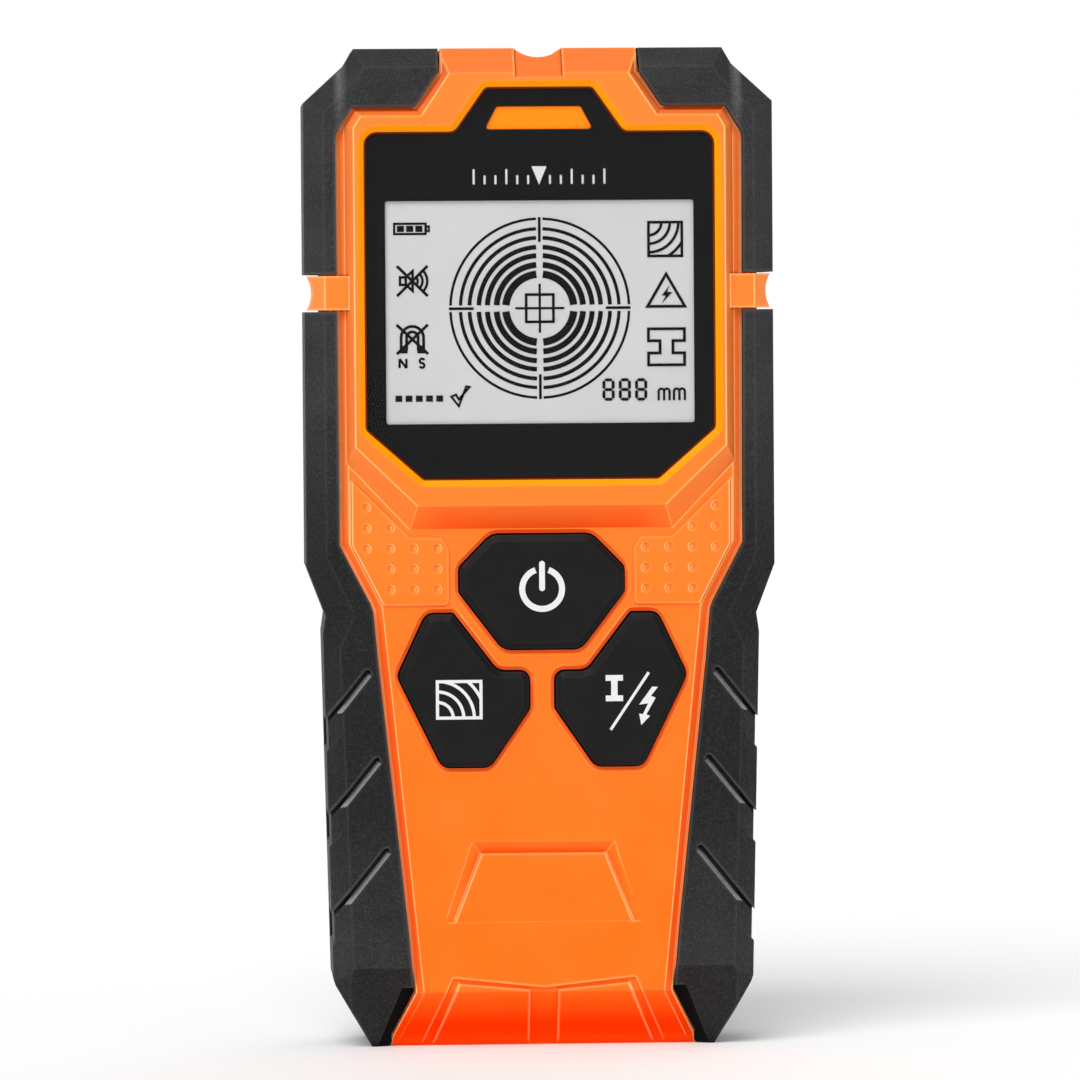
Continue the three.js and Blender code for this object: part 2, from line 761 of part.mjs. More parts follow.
// A flat bevel on the inner side of each grip's lower end, through three points of its plane.
const gripSlopeY = (z) =>
  GRIP_SLOPE_BASE_Y + ((RUBBER_FRONT_Y - GRIP_SLOPE_BASE_Y) * z) / GRIP_SLOPE_Z;
const bevelPlane = new THREE.Plane().setFromCoplanarPoints(
  new THREE.Vector3(21, gripSlopeY(8.8), 8.8),
  new THREE.Vector3(20.8, gripSlopeY(5) + 1.05, 5),
  new THREE.Vector3(24.2, gripSlopeY(0.8), 0.8),
);
if (bevelPlane.normal.y > 0) bevelPlane.negate();
const endBevel = box(17, 26, -FAR, 0, -1, 9).trimByPlane(
  bevelPlane.normal.toArray(),
  -bevelPlane.constant,
);

const rubber = cutBy(envelope, [
  tapered([
    [CORE_FRONT_Y - GAP, grown(CORE, GAP - CORE_EDGE)],
    [CORE_FRONT_Y - GAP + CORE_EDGE, grown(CORE, GAP)],
    [CORE_REAR_Y + GAP - CORE_EDGE, grown(CORE, GAP)],
    [CORE_REAR_Y + GAP, grown(CORE, GAP - CORE_EDGE)],
  ]).subtract(
    beforeSlope(
      RUBBER_FRONT_Y + CORE_BEHIND_GRIP - GAP,
      GRIP_SLOPE_Z,
      GRIP_SLOPE_BASE_Y + CORE_BEHIND_GRIP - GAP,
    ),
  ),
  prism(grown(FACE, GAP), -FAR, 0),
  prism(grown(REAR_FACE, GAP), 0, FAR),
  box(-FAR, FAR, -FAR, FAR, BAND_Z0 - GAP, BAND_Z1 + GAP),
]);
const cornerBumper = rubber.intersect(box(0, FAR, -FAR, FAR, BAND_Z1, 2 * LENGTH));
const sideGrip = cutBy(rubber.intersect(box(0, FAR, -FAR, FAR, -FAR, BAND_Z0)), [
  beforeSlope(RUBBER_FRONT_Y, GRIP_SLOPE_Z, GRIP_SLOPE_BASE_Y),
  endBevel,
  ...slotCutters,
]);

// ---------------------------------------------------------------- keys, display and insides

// A key: a bevelled cap, a flange that holds it behind the front wall, and a plunger.
function keyCap({ opening, contact: [x, z] }) {
  const outline = grown(opening, -KEY_CLEARANCE);
  return joined([
    tapered([
      [KEY_TOP_Y, grown(outline, -KEY_BEVEL)],
      [KEY_EDGE_Y, outline],
      [FLANGE.y0 + 0.1, outline],
    ]),
    prism(grown(outline, FLANGE.grow), FLANGE.y0, FLANGE.y1),
    barY(PLUNGER.radius, x, z, FLANGE.y1 - 0.1, PLUNGER.y),
  ]);
}

const lensMask = cutBy(prism(WINDOW, -12.05, -11.8), [
  prism(DISPLAY, -13, -11),
  prism(INDICATOR, -13, -11),
]);
const indicatorLens = prism(INDICATOR, -11.6, -8.5).add(
  prism(grown(INDICATOR, 0.8), FLANGE.y0, FLANGE.y1 - 0.2),
);
const displayFrame = prism(rectangle(-26, 89.6, 26, 128.2), -9.15, -4.85).subtract(
  prism(rectangle(-23.9, 91.5, 23.9, 126.7), -10, -4),
);

const BOARD_OUTLINE = mirrored([
  [17.6, 40],
  [18.4, 49],
  [25.6, 56],
  [25.8, 64],
  [28.4, 73],
  [28.4, 127],
  [21.4, 127.6],
  [21.4, 139.5],
]);
const SPACER = mirrored([
  [15.6, 41.5],
  [18.2, 50],
  [23, 58],
  [24.4, 66],
  [24.4, 76],
]);
const keySpacer = cutBy(
  prism(SPACER, -5.5, -4.8),
  KEYS.map(({ contact: [x, z] }) => barY(3.2, x, z, -7, -3)),
);

const coilBobbin = joined([
  barY(20.4, 0, COIL_Z, 2, 3.2, 40),
  barY(16.5, 0, COIL_Z, 3.1, 7.5, 40),
  barY(20.4, 0, COIL_Z, 7.4, 8.6, 40),
]).subtract(barY(14, 0, COIL_Z, 0, 10, 40));
const searchCoil = barY(19.6, 0, COIL_Z, 3.45, 7.15, 40).subtract(barY(16.8, 0, COIL_Z, 3, 8, 40));

const { x0, x1, y0, y1, z0, z1 } = BATTERY;
const batteryBody = crossPrism(
  traced([
    [y0, z0, 1.8],
    [y1, z0, 1.8],
    [y1, z1, 1.8],
    [y0, z1, 1.8],
  ]).map((p) => [p.x, p.y]),
).intersect(box(x0, x1, -FAR, FAR, -FAR, FAR));
const terminalY = (y0 + y1) / 2;
const terminalZ = (z0 + z1) / 2;

function screw([x, z]) {
  const head = barY(2.5, x, z, SCREW_HEAD_Y + 0.25, SCREW_HEAD_Y + 2.1, 20);
  const recess = box(x - 1.5, x + 1.5, SCREW_HEAD_Y + 1.1, FAR, z - 0.3, z + 0.3).add(
    box(x - 0.3, x + 0.3, SCREW_HEAD_Y + 1.1, FAR, z - 1.5, z + 1.5),
  );
  return head.add(barY(1.15, x, z, -6.8, SCREW_HEAD_Y + 0.4, 12)).subtract(recess);
}

const doorPanel = cutBy(
  prism(rectangle(-DOOR.halfWidth, DOOR.z0, DOOR.halfWidth, DOOR.z1), DOOR.y0, REAR_Y),
  [
    crossPrism([
      [REAR_Y + 1, DOOR.z1 - 1.6],
      [REAR_Y + 1, DOOR.z1 + 1],
      [REAR_Y - 1.6, DOOR.z1 + 1],
    ]),
    box(-7, 7, REAR_Y - 0.9, FAR, DOOR.z0 - 1, DOOR.z0 + 1.3),
    ...[0, 1, 2, 3].map((i) => box(-9 + i, 9 - i, REAR_Y - 0.4, FAR, 12.4 + 2 * i, 13.3 + 2 * i)),
  ],
)
  .add(hingePins(HINGE.pin, DOOR.halfWidth - 0.3, DOOR.halfWidth + HINGE.reach))
  .add(
    joined(
      DOOR_RIBS.x.map((x) => {
        const half = DOOR_RIBS.thickness / 2;
        return box(x - half, x + half, DOOR_RIBS.y, DOOR.y0 + 0.1, DOOR_RIBS.z0, DOOR_RIBS.z1);
      }),
    ),
  );

// ---------------------------------------------------------------- the assembly

const ORANGE = { color: 0xff7a26, roughness: 0.5, metalness: 0 };
const RUBBER = { color: 0x2b2b2b, roughness: 0.8, metalness: 0 };
const KEY_BLACK = { color: 0x1d1d1d, roughness: 0.6, metalness: 0 };
const CARBON = { color: 0x101010, roughness: 0.9, metalness: 0 };
const BOARD_GREEN = { color: 0x1f5a34, roughness: 0.5, metalness: 0 };
const NICKEL = { color: 0xb8b8b4, roughness: 0.3, metalness: 1 };
const PAD_FELT = { color: 0x33332f, roughness: 0.95, metalness: 0 };

const assembly = new THREE.Group();
assembly.name = "stud_finder";

function add(name, solid, look) {
  const mesh = solid.getMesh();
  const geometry = new THREE.BufferGeometry();
  geometry.setAttribute("position", new THREE.BufferAttribute(mesh.vertProperties, 3));
  geometry.setIndex(new THREE.BufferAttribute(mesh.triVerts, 1));
  geometry.computeVertexNormals();
  const piece = new THREE.Mesh(geometry, new THREE.MeshStandardMaterial(look));
  piece.name = name;
  assembly.add(piece);
}

add("front_shell", frontShell, ORANGE);
add("rear_shell", rearShell, RUBBER);
add("bumper_right", cornerBumper, RUBBER);
add("bumper_left", mirrorX(cornerBumper), RUBBER);
add("grip_right", sideGrip, RUBBER);
add("grip_left", mirrorX(sideGrip), RUBBER);
add("display_window", prism(WINDOW, -13, -12.15), { color: 0xf2f4f4, roughness: 0.05, metalness: 0 });
add("window_mask", lensMask, { color: 0x161616, roughness: 0.4, metalness: 0 });
add("indicator_lens", indicatorLens, { color: 0xff9000, roughness: 0.3, metalness: 0 });
add("indicator_led", box(-1.6, 1.6, -7.9, -4.85, 135.4, 138), {
  color: 0xe8e4d8,
  roughness: 0.4,
  metalness: 0,
});
add("lcd_glass", prism(rectangle(-24, 91.3, 24, 126.6), -11.6, -9.7), {
  color: 0xc9cdc9,
  roughness: 0.2,
  metalness: 0,
});
add("light_guide", prism(rectangle(-23.6, 95.6, 23.6, 126.4), -9.4, -6.6), {
  color: 0xf4f4f0,
  roughness: 0.4,
  metalness: 0,
});
add("display_frame", displayFrame, { color: 0xe9e9e4, roughness: 0.6, metalness: 0 });
add("lcd_connector", box(-22, 22, -9.4, -4.85, 91.9, 94.4), {
  color: 0xb5706c,
  roughness: 0.8,
  metalness: 0,
});
KEYS.forEach((key) => {
  const [x, z] = key.contact;
  add(`${key.name}_button`, keyCap(key), KEY_BLACK);
  add(`${key.name}_contact`, barY(CONTACT.radius, x, z, CONTACT.y0, CONTACT.y1), CARBON);
});
add("key_spacer", keySpacer, { color: 0x8f9496, roughness: 0.8, metalness: 0 });
add("main_board", prism(BOARD_OUTLINE, BOARD.y0, BOARD.y1), BOARD_GREEN);
add("microcontroller", box(-5, 5, -2.75, -1.3, 80, 90), KEY_BLACK);
add("buzzer", barY(5.5, -11, 66, -2.75, 2.5), KEY_BLACK);
add("coil_bobbin", coilBobbin, { color: 0xd8d8d0, roughness: 0.6, metalness: 0 });
add("search_coil", searchCoil, { color: 0xb8672e, roughness: 0.35, metalness: 1 });
add("sensor_board", box(-20.8, 20.8, 9.1, 10.3, 86, 136), BOARD_GREEN);
add("battery", batteryBody, { color: 0x3a3d42, roughness: 0.35, metalness: 0.4 });
add("battery_positive", barX(2.9, terminalY, terminalZ + 6.35, x1 + 0.25, x1 + 2.5), NICKEL);
add("battery_negative", barX(3.9, terminalY, terminalZ - 6.35, x1 + 0.25, x1 + 2.5, 6), NICKEL);
add("terminal_plate", box(x1 + 2.8, x1 + 4.1, -6, 9.3, 11.5, 34.2), KEY_BLACK);
add("battery_pad", box(-20, 16, -9.15, -7.4, 15, 31), PAD_FELT);
add("battery_door", doorPanel, RUBBER);
add("wire_red", wire([
  [24.4, 0.5, 34.5],
  [24.4, 0.5, 38.9],
  [23.2, 0.2, 39.8],
  [17.5, -0.8, 40.5],
  [15.5, -1.6, 42.2],
  [15.5, -2.75, 42.4],
], 0.55), { color: 0xb01818, roughness: 0.5, metalness: 0 });
add("wire_black", wire([
  [24.4, 2.6, 34.5],
  [24.4, 2.6, 38.9],
  [23.2, 2.4, 39.7],
  [16, 1.2, 40.3],
  [12.5, -1, 42.2],
  [12.5, -2.75, 42.4],
], 0.55), KEY_BLACK);
SCREWS.forEach((place, i) => add(`case_screw_${i + 1}`, screw(place), NICKEL));
add("rear_label", prism(LABEL, REAR_Y - 0.35, REAR_Y), { color: 0xc8c8c4, roughness: 0.5, metalness: 0 });
add("glide_pad_upper", prism(UPPER_PAD, REAR_Y - 0.35, PAD_Y), PAD_FELT);
add("glide_pad_lower", prism(LOWER_PAD, REAR_Y - 0.35, PAD_Y), PAD_FELT);

export default assembly;
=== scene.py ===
"""Looks of the stud finder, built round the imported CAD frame. Metres, +Z up, -Y out of the display."""

import math

import bmesh
import bpy
from mathutils import Matrix, Vector


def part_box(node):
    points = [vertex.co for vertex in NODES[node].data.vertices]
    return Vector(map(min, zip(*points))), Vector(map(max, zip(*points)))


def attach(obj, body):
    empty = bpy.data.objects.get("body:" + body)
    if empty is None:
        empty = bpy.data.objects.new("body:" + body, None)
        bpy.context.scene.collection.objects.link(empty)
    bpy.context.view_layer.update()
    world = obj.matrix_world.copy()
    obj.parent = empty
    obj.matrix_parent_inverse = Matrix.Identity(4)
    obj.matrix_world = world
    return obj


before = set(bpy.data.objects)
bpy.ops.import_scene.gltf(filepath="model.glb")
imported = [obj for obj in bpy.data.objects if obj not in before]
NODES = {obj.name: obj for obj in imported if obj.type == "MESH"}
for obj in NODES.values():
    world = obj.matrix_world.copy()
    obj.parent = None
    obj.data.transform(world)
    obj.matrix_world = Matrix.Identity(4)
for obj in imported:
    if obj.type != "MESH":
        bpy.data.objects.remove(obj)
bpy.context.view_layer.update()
MM = 0.001

# ---------------------------------------------------------------- materials


def linear(r, g, b):
    """A colour given as 0-255 screen values, in linear light."""

    def channel(c):
        c /= 255
        return c / 12.92 if c <= 0.04045 else ((c + 0.055) / 1.055) ** 2.4

    return (channel(r), channel(g), channel(b), 1)


def grey(level):
    return linear(level, level, level)


class Shader:
    """A small builder for a Principled material with procedural detail in object space."""

    def __init__(self, name, **inputs):
        self.material = bpy.data.materials.new(name)
        self.material.use_nodes = True
        self.nodes = self.material.node_tree.nodes
        self.links = self.material.node_tree.links
        self.bsdf = self.nodes["Principled BSDF"]
        for key, value in inputs.items():
            self.bsdf.inputs[key.replace("_", " ")].default_value = value
        self.coords = self.nodes.new("ShaderNodeTexCoord").outputs["Object"]
        self.normal = None

    def node(self, kind, inputs=(), **settings):
        made = self.nodes.new(kind)
        for key, value in settings.items():
            setattr(made, key, value)
        for key, value in dict(inputs).items():
            if isinstance(value, bpy.types.NodeSocket):
                self.links.new(value, made.inputs[key])
            else:
                made.inputs[key].default_value = value
        return made

    def noise(self, size_mm, detail=3, rough=0.55, stretch=(1, 1, 1)):
        """Noise whose blobs are about size_mm across."""
        place = self.node("ShaderNodeMapping", {"Vector": self.coords, "Scale": stretch})
        inputs = {
            "Vector": place.outputs[0],
            "Scale": 1 / (size_mm * MM),
            "Detail": detail,
            "Roughness": rough,
        }
        return self.node("ShaderNodeTexNoise", inputs).outputs["Fac"]

    def cells(self, size_mm, feature="F1"):
        inputs = {"Vector": self.coords, "Scale": 1 / (size_mm * MM)}
        return self.node("ShaderNodeTexVoronoi", inputs, feature=feature).outputs["Distance"]

    def spread(self, value, low, high, to_low=0.0, to_high=1.0):
        inputs = {0: value, 1: low, 2: high, 3: to_low, 4: to_high}
        return self.node("ShaderNodeMapRange", inputs).outputs[0]

    def mix(self, factor, a, b):
        made = self.node("ShaderNodeMix", {"Factor": factor}, data_type="RGBA")
        for socket, value in ((made.inputs[6], a), (made.inputs[7], b)):
            if isinstance(value, bpy.types.NodeSocket):
                self.links.new(value, socket)
            else:
                socket.default_value = value
        return made.outputs[2]

    def math(self, operation, a, b=0.0):
        return self.node("ShaderNodeMath", {0: a, 1: b}, operation=operation).outputs[0]

    def times(self, first, *others):
        """The product of two or more values."""
        for other in others:
            first = self.math("MULTIPLY", first, other)
        return first

    def inverse(self, share):
        return self.math("SUBTRACT", 1, share)

    def absolute(self, value):
        return self.math("ABSOLUTE", value)

    def split(self, vector):
        return tuple(self.node("ShaderNodeSeparateXYZ", {0: vector}).outputs)

    def facing(self):
        """The surface's own direction, as x, y and z parts."""
        return self.split(self.nodes.new("ShaderNodeNewGeometry").outputs["Normal"])

    def place(self):
        """The surface's place in metres, as x, y and z parts."""
        return self.split(self.coords)

    def shut_in(self, reach_mm, inside):
        inputs = {"Distance": reach_mm * MM}
        node = self.node("ShaderNodeAmbientOcclusion", inputs, samples=6, inside=inside)
        return node.outputs["AO"]

    def nook(self, reach_mm):
        """1 in a tight inside corner and 0 on an open surface."""
        return self.spread(self.shut_in(reach_mm, False), 0.9, 0.45)

    def edge(self, reach_mm):
        """1 along a sharp outside edge and 0 on a flat surface."""
        return self.spread(self.shut_in(reach_mm, True), 0.97, 0.72)

    def turned(self, reach_mm):
        """How far the rounded surface leans sideways, away from the middle, beyond the flat one."""
        rounded = self.node("ShaderNodeBevel", {"Radius": reach_mm * MM}, samples=6).outputs[0]
        lean = self.math("SUBTRACT", self.split(rounded)[0], self.facing()[0])
        return self.times(self.place()[0], lean)

    def set(self, name, value):
        self.links.new(value, self.bsdf.inputs[name])

    def bump(self, height, distance_mm, strength=1.0):
        inputs = {"Height": height, "Distance": distance_mm * MM, "Strength": strength}
        if self.normal is not None:
            inputs["Normal"] = self.normal
        self.normal = self.node("ShaderNodeBump", inputs).outputs[0]
        self.set("Normal", self.normal)


# heights on the tool where its colours change
SLOPE_TOP = 8.5 * MM  # the base slope's upper edge
WAIST = 54 * MM  # the middle of the hand's hold
STEP = 61 * MM  # where the outline steps out to its full width
SURROUND_FOOT = 76 * MM  # the display surround's lowest edge
SURROUND_SIDE = 80 * MM  # above it, the surround's sides
TOP_BEVEL = 138 * MM


def orange_shell():
    """Bright orange ABS with painted light: lighter towards the top, painted shade in its recesses, on
    down-facing slopes and the top bevel, painted highlights along its edges and on the window's lip, and a
    painted glow in its front recesses.
    """
    s = Shader("orange_abs", Specular_Tint=(1, 0.5, 0.1, 1), Emission_Color=(1, 0.05, 0.002, 1))
    x, y, z = s.place()
    nx, ny, nz = s.facing()
    from_middle = s.absolute(x)
    outward = s.times(x, nx)
    # painted light: the orange is painted lighter towards the top, where the light falls more strongly
    colour = s.mix(s.spread(z, 15 * MM, 120 * MM), linear(255, 111, 22), linear(255, 131, 54))
    colour = s.mix(s.spread(s.noise(9, 4), 0.3, 0.75, 0, 0.25), colour, linear(255, 138, 58))
    # the slopes beside the display catch more light, and those beside the grips less
    flank = s.times(s.spread(outward, 0.006, 0.012), s.spread(z, STEP - 3 * MM, STEP + 3 * MM))
    colour = s.mix(s.times(flank, 0.25), colour, linear(255, 150, 92))
    strip = s.times(s.spread(outward, 0.003, 0.006), s.spread(z, STEP + 3 * MM, STEP - 3 * MM))
    colour = s.mix(s.times(strip, 0.55), colour, linear(255, 88, 40))
    # painted shade: down-facing slopes are painted a deeper red-orange, deepest under the display and at the
    # base
    slope = s.times(s.spread(nz, -0.12, -0.5), s.spread(s.absolute(nx), 0.4, 0.15))
    under_display = s.times(
        s.spread(z, STEP - 1 * MM, STEP),
        s.spread(z, SURROUND_SIDE, SURROUND_FOOT, 0.3, 0.8),
        s.spread(from_middle, 18.5 * MM, 14 * MM, 0.35, 1),
    )
    below_slope_top = s.spread(z, SLOPE_TOP + 0.2 * MM, SLOPE_TOP - 0.2 * MM)
    at_base = s.times(below_slope_top, s.spread(z, SLOPE_TOP + 0.1 * MM, 3.5 * MM, 0.2, 1))
    painted_down_shade = s.math("MAXIMUM", s.times(slope, s.math("MAXIMUM", under_display, 0.1)), at_base)
    colour = s.mix(painted_down_shade, colour, linear(255, 58, 0))
    # painted shade: recesses are painted a deeper red-orange, half as much from the display surround upward
    recess_shade_and_glow = s.times(s.nook(2), s.spread(z, SURROUND_FOOT, SURROUND_SIDE, 1, 0.5))
    colour = s.mix(s.times(recess_shade_and_glow, 0.55), colour, linear(255, 84, 8))
    # painted shade: the up-facing top bevel is painted a darker red-orange
    top_bevel_shade = s.times(s.spread(nz, 0.2, 0.5), s.spread(z, TOP_BEVEL, TOP_BEVEL + 2 * MM, 0, 0.5))
    colour = s.mix(top_bevel_shade, colour, linear(248, 104, 48))
    # painted shadow: a dark line in the tight gap where the shell goes under the rubber
    beside_grip = s.times(strip, s.spread(z, SLOPE_TOP, SLOPE_TOP + 1 * MM))
    under_rubber = s.math("MAXIMUM", s.spread(z, SURROUND_FOOT, SURROUND_SIDE), beside_grip)
    colour = s.mix(s.times(s.nook(0.5), under_rubber), colour, linear(44, 12, 4))
    # painted highlights along the edges, palest where an edge turns from the front to a side, and hardly any
    # at the base's corners
    corners = s.times(at_base, s.spread(from_middle, 17.5 * MM, 18.5 * MM))
    plain_edge_highlight = s.times(s.edge(0.45), s.math("SUBTRACT", 0.35, s.times(corners, 0.3)))
    side_edge_highlight = s.times(s.spread(s.turned(0.4), 0.0008, 0.0028), s.spread(ny, -0.8, -0.9))
    colour = s.mix(s.math("MAXIMUM", plain_edge_highlight, side_edge_highlight), colour, linear(255, 206, 134))
    # painted highlight: the inward-facing lip of the display window is painted bright amber
    low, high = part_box("display_window")
    upright = s.times(s.math("SUBTRACT", z, (low.z + high.z) / 2), nz)
    inward = s.spread(s.math("ADD", outward, upright), -0.002, -0.008)
    window_lip_highlight = s.times(inward, s.spread(y, low.y + 0.5 * MM, low.y + 0.2 * MM))
    s.set("Base Color", s.mix(window_lip_highlight, colour, linear(255, 152, 0)))
    # painted light: the front of the recesses glows faintly red, standing in for light passing between the
    # orange walls
    at_front = s.times(s.spread(ny, -0.15, -0.4), s.spread(z, 9.5 * MM, 12 * MM))
    s.set("Emission Strength", s.times(recess_shade_and_glow, at_front, 0.35))
    s.set("Roughness", s.spread(s.noise(3.5, 3), 0.3, 0.7, 0.38, 0.48))
    s.set("Specular IOR Level", s.spread(z, SLOPE_TOP - 0.2 * MM, SLOPE_TOP + 0.2 * MM, 0.02, 0.5))
    s.bump(s.noise(0.22, 2, 0.6), 0.012)
    return s


def speckled_rubber():
    """Moulded rubber with a coarse grain that carries painted glints, painted darker at the waist, where it
    faces down or towards the shell and in its slots, with painted highlights on its edges, upper corners and
    the slots' lower walls.
    """
    s = Shader("grip_rubber", Specular_IOR_Level=0.2)
    x, _, z = s.place()
    nx, ny, nz = s.facing()
    from_middle = s.absolute(x)
    grain = s.noise(0.3, 3, 0.75)
    soft = s.mix(s.spread(s.noise(7, 4), 0.35, 0.7), grey(36), grey(47))
    # painted shade: the waist is painted darker
    off_waist = s.spread(s.absolute(s.math("SUBTRACT", z, WAIST)), 18 * MM, 44 * MM)
    soft = s.mix(s.times(s.inverse(off_waist), 0.85), soft, grey(10))
    # painted shade: down-facing faces are painted darker
    facing_down_shade = s.spread(nz, -0.02, -0.45, 0, 0.8)
    soft = s.mix(facing_down_shade, soft, grey(8))
    # painted glints: pale specks in the grain, fewer where it faces down and at the waist
    sparkle = s.times(s.spread(grain, 0.5, 0.7, 0, 0.6), s.inverse(s.times(facing_down_shade, 0.25)))
    sparkle = s.times(sparkle, s.spread(off_waist, 0, 0.7, 0.6, 1))
    colour = s.mix(sparkle, soft, grey(74))
    # painted highlight along the edges
    colour = s.mix(s.times(s.edge(0.5), 0.18), colour, grey(120))
    # painted highlight: a pale streak along the ridge of each upper corner
    corner_highlight = s.times(
        s.spread(from_middle, 28 * MM, 29.2 * MM),
        s.spread(from_middle, 30.2 * MM, 29.3 * MM),
        s.spread(z, 133 * MM, 143 * MM, 0, 0.65),
        s.spread(grain, 0.3, 0.7, 0.4, 1),
    )
    colour = s.mix(corner_highlight, colour, grey(128))
    # painted shade: the walls that face the shell are painted black
    inner = s.spread(s.times(x, nx), -0.001, -0.005)
    colour = s.mix(inner, colour, grey(0))
    # painted shade: the slots are painted black, but for their lower walls, which carry a painted highlight
    slot_wall_highlight = s.times(s.spread(nz, 0.3, 0.4), s.spread(ny, -0.2, -0.3), s.spread(z, 64 * MM, 62 * MM))
    colour = s.mix(s.times(s.nook(1.6), s.inverse(slot_wall_highlight)), colour, grey(3))
    colour = s.mix(s.times(slot_wall_highlight, s.spread(grain, 0.3, 0.6, 0.5, 1)), colour, grey(150))
    s.set("Base Color", colour)
    rough = s.spread(s.noise(0.5, 3), 0.35, 0.7, 0.42, 0.7)
    s.set("Roughness", s.math("MAXIMUM", rough, inner))
    s.bump(s.noise(0.36, 3, 0.7), 0.13)
    return s


def silicone_key():
    """Soft-touch silicone: nearly flat, with a fine grain, painted highlights on its edges and painted shade
    in its nooks.
    """
    s = Shader("key_silicone", Specular_IOR_Level=0.16)
    colour = s.mix(s.spread(s.noise(6, 4), 0.35, 0.7), grey(14), grey(19))
    colour = s.mix(s.spread(s.noise(0.2, 2, 0.7), 0.55, 0.75, 0, 0.5), colour, grey(34))
    # painted highlight along the edges
    colour = s.mix(s.times(s.edge(0.5), 0.5), colour, grey(52))
    # painted shade in the nooks
    colour = s.mix(s.nook(1.2), colour, grey(4))
    s.set("Base Color", colour)
    s.set("Roughness", s.spread(s.noise(2.5, 3), 0.3, 0.7, 0.48, 0.62))
    s.bump(s.noise(0.16, 2, 0.6), 0.01)
    return s


def textured_abs():
    """Black ABS with a leathery spark-eroded texture, with painted highlights along its edges and painted
    shade in its nooks.
    """
    s = Shader("black_abs", Specular_IOR_Level=0.4)
    colour = s.mix(s.spread(s.noise(8, 4), 0.35, 0.7), linear(30, 30, 31), linear(40, 40, 41))
    colour = s.mix(s.spread(s.noise(0.35, 3, 0.7), 0.52, 0.7, 0, 0.6), colour, linear(62, 62, 63))
    # painted highlight along the edges
    colour = s.mix(s.times(s.edge(0.4), 0.4), colour, linear(104, 104, 105))
    # painted shade in the nooks
    colour = s.mix(s.nook(1.4), colour, grey(6))
    s.set("Base Color", colour)
    s.set("Roughness", s.spread(s.noise(3, 3), 0.3, 0.7, 0.45, 0.62))
    cells = s.cells(0.55, "SMOOTH_F1")
    s.bump(cells, 0.03, 0.6)
    s.bump(s.noise(0.25, 2, 0.6), 0.025)
    return s


ORANGE = orange_shell()
BLACK_ABS = textured_abs()
RUBBER = speckled_rubber()
KEY = silicone_key()


def plain(name, colour, roughness=0.5, metallic=0.0, grain_mm=0.5, **inputs):
    """A moulded, printed or plated finish with a little unevenness in its colour, gloss and surface."""
    s = Shader(name, Metallic=metallic, **inputs)
    fade = tuple(c * 0.86 for c in colour[:3]) + (1,)
    s.set("Base Color", s.mix(s.noise(grain_mm * 6, 3), fade, colour))
    s.set("Roughness", s.spread(s.noise(grain_mm * 3, 3), 0.3, 0.7, roughness * 0.85, roughness * 1.15))
    s.bump(s.noise(grain_mm, 2), 0.01)
    return s


WHITE_INK = plain("white_ink", grey(232), 0.55, grain_mm=0.2)
SEGMENT = plain("display_segment", linear(9, 9, 11), 0.5, grain_mm=0.2, Specular_IOR_Level=0.1)
MASK = plain("window_print", grey(10), 0.45, grain_mm=0.4, Specular_IOR_Level=0.1)
# painted light: the amber lens glows by itself
AMBER = plain(
    "amber_lens",
    linear(255, 146, 0),
    0.35,
    grain_mm=0.6,
    Specular_IOR_Level=0.1,
    Emission_Color=(1, 0.12, 0, 1),
    Emission_Strength=0.42,
)
# the display glass glows faintly: this stands for its backlight, and is also painted light making up for
# light lost under the window
DISPLAY = plain(
    "display_glass",
    linear(211, 209, 209),
    0.4,
    grain_mm=1.5,
    Specular_IOR_Level=0.2,
    Emission_Color=(1, 1, 1, 1),
    Emission_Strength=0.05,
)
WHITE_PLASTIC = plain("white_plastic", linear(225, 225, 220), 0.5)
NICKEL = plain("nickel", linear(190, 188, 182), 0.3, 1.0, 0.3)
COPPER = plain("copper", linear(190, 110, 62), 0.35, 1.0, 0.3)
BLACK_PLASTIC = plain("black_plastic", linear(30, 30, 31), 0.5)
FELT = plain("felt", linear(46, 46, 44), 0.95, grain_mm=0.15)
LABEL = plain("label_film", linear(172, 172, 170), 0.45, grain_mm=0.5)
LABEL_INK = plain("label_ink", linear(38, 38, 40), 0.5, grain_mm=0.2)
RED_WIRE = plain("red_wire", linear(180, 24, 20), 0.4)


def battery_jacket():
    """A printed steel jacket: graphite, with a brushed copper band next to the terminals."""
    s = Shader("battery_jacket", Metallic=0.55)
    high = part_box("battery")[1]
    x = s.place()[0]
    band = s.spread(x, high.x - 13 * MM, high.x - 12.8 * MM)
    graphite = s.mix(s.noise(5, 3), linear(40, 42, 48), linear(50, 53, 60))
    streaks = s.noise(0.5, 3, 0.6, stretch=(0.06, 1, 1))
    copper = s.mix(streaks, linear(168, 98, 50), linear(206, 136, 78))
    colour = s.mix(band, graphite, copper)
    # painted highlight along the edges
    s.set("Base Color", s.mix(s.times(s.edge(0.5), 0.4), colour, linear(170, 170, 172)))
    s.set("Roughness", s.spread(streaks, 0.3, 0.7, 0.25, 0.42))
    s.bump(streaks, 0.01)
    return s


def circuit_board(name):
    """Green solder mask over copper tracks, with tinned pads."""
    s = Shader(name)
    mask = s.mix(s.noise(6, 3), linear(22, 78, 44), linear(30, 96, 54))
    tracks = s.spread(s.cells(3.2, "DISTANCE_TO_EDGE"), 0.06, 0.04)
    colour = s.mix(s.times(tracks, 0.7), mask, linear(52, 124, 66))
    pads = s.spread(s.cells(2.6), 0.16, 0.13)
    s.set("Base Color", s.mix(pads, colour, linear(196, 194, 186)))
    s.set("Roughness", s.spread(pads, 0, 1, 0.42, 0.25))
    s.set("Metallic", pads)
    s.bump(s.math("MAXIMUM", tracks, pads), 0.03)
    return s


